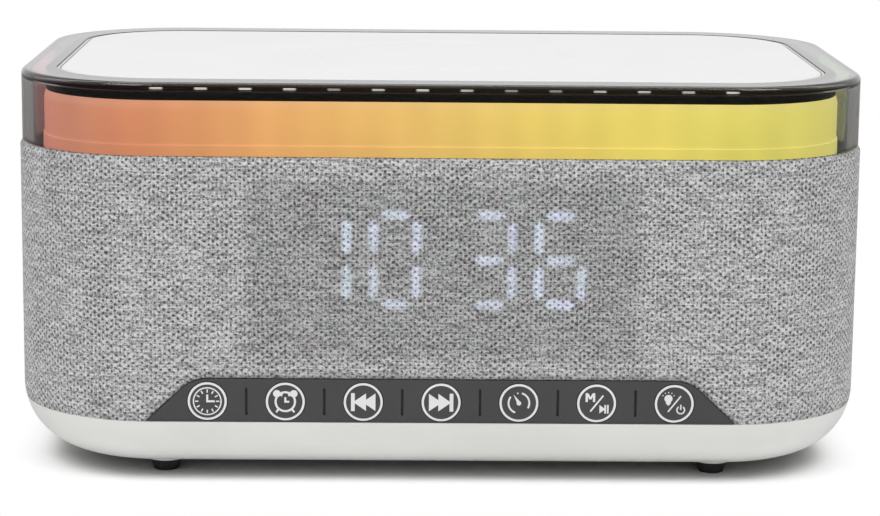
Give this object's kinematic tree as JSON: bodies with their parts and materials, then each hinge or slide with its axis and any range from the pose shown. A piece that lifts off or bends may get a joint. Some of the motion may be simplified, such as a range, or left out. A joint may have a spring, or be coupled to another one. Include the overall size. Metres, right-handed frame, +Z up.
{
  "type": "bedside alarm clock",
  "caption": "Cloth-covered alarm clock and speaker with lit digits behind the cloth, a strip of round keys, a coloured light ring and a charging pad on top.",
  "frame": {"origin": "centre of the outline, on the table plane under the feet", "axes": "+X to the right along the front, +Y from the front to the back, +Z up"},
  "size_m": [0.195, 0.124, 0.0915],
  "materials": {
    "white_plastic": "satin moulded, slightly warm white",
    "foot_rubber": "dull black rubber",
    "screw_steel": "plain zinc plated",
    "black_plastic": "matte black moulding",
    "cover_cloth": "light grey weave flecked with dark dots",
    "strip_plastic": "soft dark grey",
    "key_plastic": "soft dark grey with a printed pale ring and mark",
    "switch_plastic": "black switch housing",
    "plunger_plastic": "red brown switch pin",
    "board_green": "green solder resist",
    "board_white": "white solder resist",
    "dark_film": "dark tinted film",
    "lit_bar": "milky bar, lit cool white",
    "dark_bar": "milky bar, unlit",
    "led_white": "small lamp body",
    "smoked_clear": "polished smoke grey clear acrylic",
    "pad_white": "satin white",
    "ring_glow": "milky diffuser glowing pink, orange and yellow",
    "copper": "enamelled copper wire",
    "ferrite": "dark grey ferrite",
    "chip_black": "black packages and capacitor cans",
    "cell_steel": "plain nickel plated",
    "socket_steel": "plain nickel plated",
    "basket_steel": "black painted steel",
    "magnet": "dark ferrite and plated plates",
    "cone_paper": "black paper",
    "surround_rubber": "black rubber",
    "spider_cloth": "tan treated cloth"
  },
  "bodies": {
    "housing": {"base_shell": "white_plastic", "rubber_feet": "foot_rubber", "base_screws": "screw_steel", "cabinet": "black_plastic", "fabric_cover": "cover_cloth", "key_strip": "strip_plastic", "key_switches": "switch_plastic", "key_board": "board_green", "board_screws": "screw_steel", "display_filter": "dark_film", "display_housing": "black_plastic", "display_bars_lit": "lit_bar", "display_bars_dark": "dark_bar", "display_board": "board_green", "display_leds": "led_white", "speaker_screws": "screw_steel", "clear_cap": "smoked_clear", "charging_pad": "pad_white", "light_diffuser": "ring_glow", "shade_ring": "black_plastic", "drum": "white_plastic", "drum_screws": "screw_steel", "light_board": "board_white", "ring_leds": "led_white", "charge_winding": "copper", "charge_ferrite": "ferrite", "charge_board": "board_green", "main_board": "board_green", "board_parts": "chip_black", "cell_holder": "black_plastic", "coin_cell": "cell_steel", "socket_panel": "strip_plastic", "usb_a_socket": "socket_steel", "usb_c_socket": "socket_steel", "left_speaker_frame": "basket_steel", "left_speaker_magnet": "magnet", "left_speaker_surround": "surround_rubber", "left_speaker_spider": "spider_cloth", "right_speaker_frame": "basket_steel", "right_speaker_magnet": "magnet", "right_speaker_surround": "surround_rubber", "right_speaker_spider": "spider_cloth"},
    "key_clock_button": {"key_clock": "key_plastic", "plunger_clock": "plunger_plastic"},
    "key_alarm_button": {"key_alarm": "key_plastic", "plunger_alarm": "plunger_plastic"},
    "key_previous_button": {"key_previous": "key_plastic", "plunger_previous": "plunger_plastic"},
    "key_next_button": {"key_next": "key_plastic", "plunger_next": "plunger_plastic"},
    "key_sleep_button": {"key_sleep": "key_plastic", "plunger_sleep": "plunger_plastic"},
    "key_mode_play_button": {"key_mode_play": "key_plastic", "plunger_mode_play": "plunger_plastic"},
    "key_light_power_button": {"key_light_power": "key_plastic", "plunger_light_power": "plunger_plastic"},
    "left_cone": {"left_speaker_cone": "cone_paper", "left_voice_coil": "copper"},
    "right_cone": {"right_speaker_cone": "cone_paper", "right_voice_coil": "copper"}
  },
  "joints": [
    {"name": "press_clock", "type": "slide", "parent": "housing", "child": "key_clock_button", "axis": [0, 1, 0], "range_m": [0, 0.0004], "stiffness_N_per_m": 2500, "springref_m": -0.0002},
    {"name": "press_alarm", "type": "slide", "parent": "housing", "child": "key_alarm_button", "axis": [0, 1, 0], "range_m": [0, 0.0004], "stiffness_N_per_m": 2500, "springref_m": -0.0002},
    {"name": "press_previous", "type": "slide", "parent": "housing", "child": "key_previous_button", "axis": [0, 1, 0], "range_m": [0, 0.0004], "stiffness_N_per_m": 2500, "springref_m": -0.0002},
    {"name": "press_next", "type": "slide", "parent": "housing", "child": "key_next_button", "axis": [0, 1, 0], "range_m": [0, 0.0004], "stiffness_N_per_m": 2500, "springref_m": -0.0002},
    {"name": "press_sleep", "type": "slide", "parent": "housing", "child": "key_sleep_button", "axis": [0, 1, 0], "range_m": [0, 0.0004], "stiffness_N_per_m": 2500, "springref_m": -0.0002},
    {"name": "press_mode_play", "type": "slide", "parent": "housing", "child": "key_mode_play_button", "axis": [0, 1, 0], "range_m": [0, 0.0004], "stiffness_N_per_m": 2500, "springref_m": -0.0002},
    {"name": "press_light_power", "type": "slide", "parent": "housing", "child": "key_light_power_button", "axis": [0, 1, 0], "range_m": [0, 0.0004], "stiffness_N_per_m": 2500, "springref_m": -0.0002},
    {"name": "left_cone_slide", "type": "slide", "parent": "housing", "child": "left_cone", "axis": [-1, 0, 0], "range_m": [-0.0008, 0.0008], "stiffness_N_per_m": 2000},
    {"name": "right_cone_slide", "type": "slide", "parent": "housing", "child": "right_cone", "axis": [1, 0, 0], "range_m": [-0.0008, 0.0008], "stiffness_N_per_m": 2000}
  ]
}
